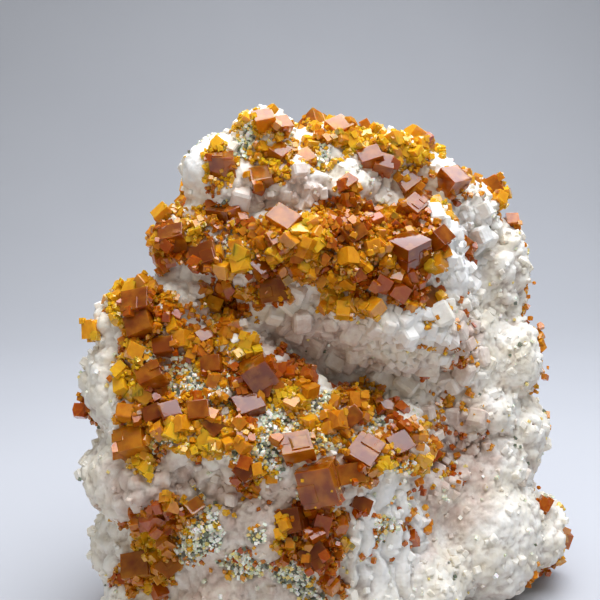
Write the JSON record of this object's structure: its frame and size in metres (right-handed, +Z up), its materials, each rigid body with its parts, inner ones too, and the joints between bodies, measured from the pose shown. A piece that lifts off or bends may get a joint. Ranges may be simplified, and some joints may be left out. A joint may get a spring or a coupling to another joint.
{
  "type": "chabazite on matrix",
  "caption": "Mineral specimen: amber cube-like chabazite crystals on a knobbly white zeolite crust, standing on its flat underside.",
  "frame": {"origin": "in the plane of the flat underside, z = 0, about under the middle of the block", "axes": "+Z up, +Y from the crystal-covered front to the back, +X to the right seen from the front"},
  "size_m": [0.0942, 0.0686, 0.0987],
  "materials": {
    "zeolite_crust": "fine-grained white crust, satin, slightly translucent",
    "chabazite": "amber, glossy flat faces, see-through in thin parts"
  },
  "bodies": {
    "root": {"chabazite_brow_drop": "chabazite", "chabazite_brow_left_twin": "chabazite", "chabazite_brow_mid": "chabazite", "chabazite_cleft_left": "chabazite", "chabazite_cleft_top": "chabazite", "chabazite_cleft_yellow": "chabazite", "chabazite_crest_lilac": "chabazite", "chabazite_crest_peak_foot": "chabazite", "chabazite_dark_cluster_left": "chabazite", "chabazite_dark_cluster_low": "chabazite", "chabazite_far_ledge": "chabazite", "chabazite_far_small": "chabazite", "chabazite_foot_left": "chabazite", "chabazite_foot_left_twin": "chabazite", "chabazite_hollow_edge": "chabazite", "chabazite_hollow_far": "chabazite", "chabazite_hollow_small": "chabazite", "chabazite_ledge_left": "chabazite", "chabazite_notch_left": "chabazite", "chabazite_notch_small": "chabazite", "chabazite_peak_drop": "chabazite", "chabazite_pink_left": "chabazite", "chabazite_plum": "chabazite", "chabazite_plum_crest": "chabazite", "chabazite_rear_10a": "chabazite", "chabazite_rear_11a": "chabazite", "chabazite_rear_12a": "chabazite", "chabazite_rear_13a": "chabazite", "chabazite_rear_14a": "chabazite", "chabazite_rear_15a": "chabazite", "chabazite_rear_1a": "chabazite", "chabazite_rear_2a": "chabazite", "chabazite_rear_3a": "chabazite", "chabazite_rear_4a": "chabazite", "chabazite_rear_5b": "chabazite", "chabazite_rear_6a": "chabazite", "chabazite_rear_7a": "chabazite", "chabazite_rear_8a": "chabazite", "chabazite_rear_9a": "chabazite", "chabazite_right_high": "chabazite", "chabazite_right_large": "chabazite", "chabazite_right_low": "chabazite", "chabazite_right_rim": "chabazite", "chabazite_rim_left_low": "chabazite", "chabazite_shoulder_left": "chabazite", "chabazite_slope_edge": "chabazite", "chabazite_slope_far_right": "chabazite", "chabazite_slope_mid": "chabazite", "chabazite_slope_mid_low": "chabazite", "chabazite_slope_pink": "chabazite", "chabazite_slope_upper": "chabazite", "chabazite_summit": "chabazite", "chabazite_summit_right": "chabazite", "chabazite_tablet": "chabazite", "chabazite_underhang": "chabazite", "chabazite_upper_centre": "chabazite", "chabazite_upper_left": "chabazite", "chabazite_upper_middle": "chabazite", "matrix": "zeolite_crust"}
  },
  "joints": []
}
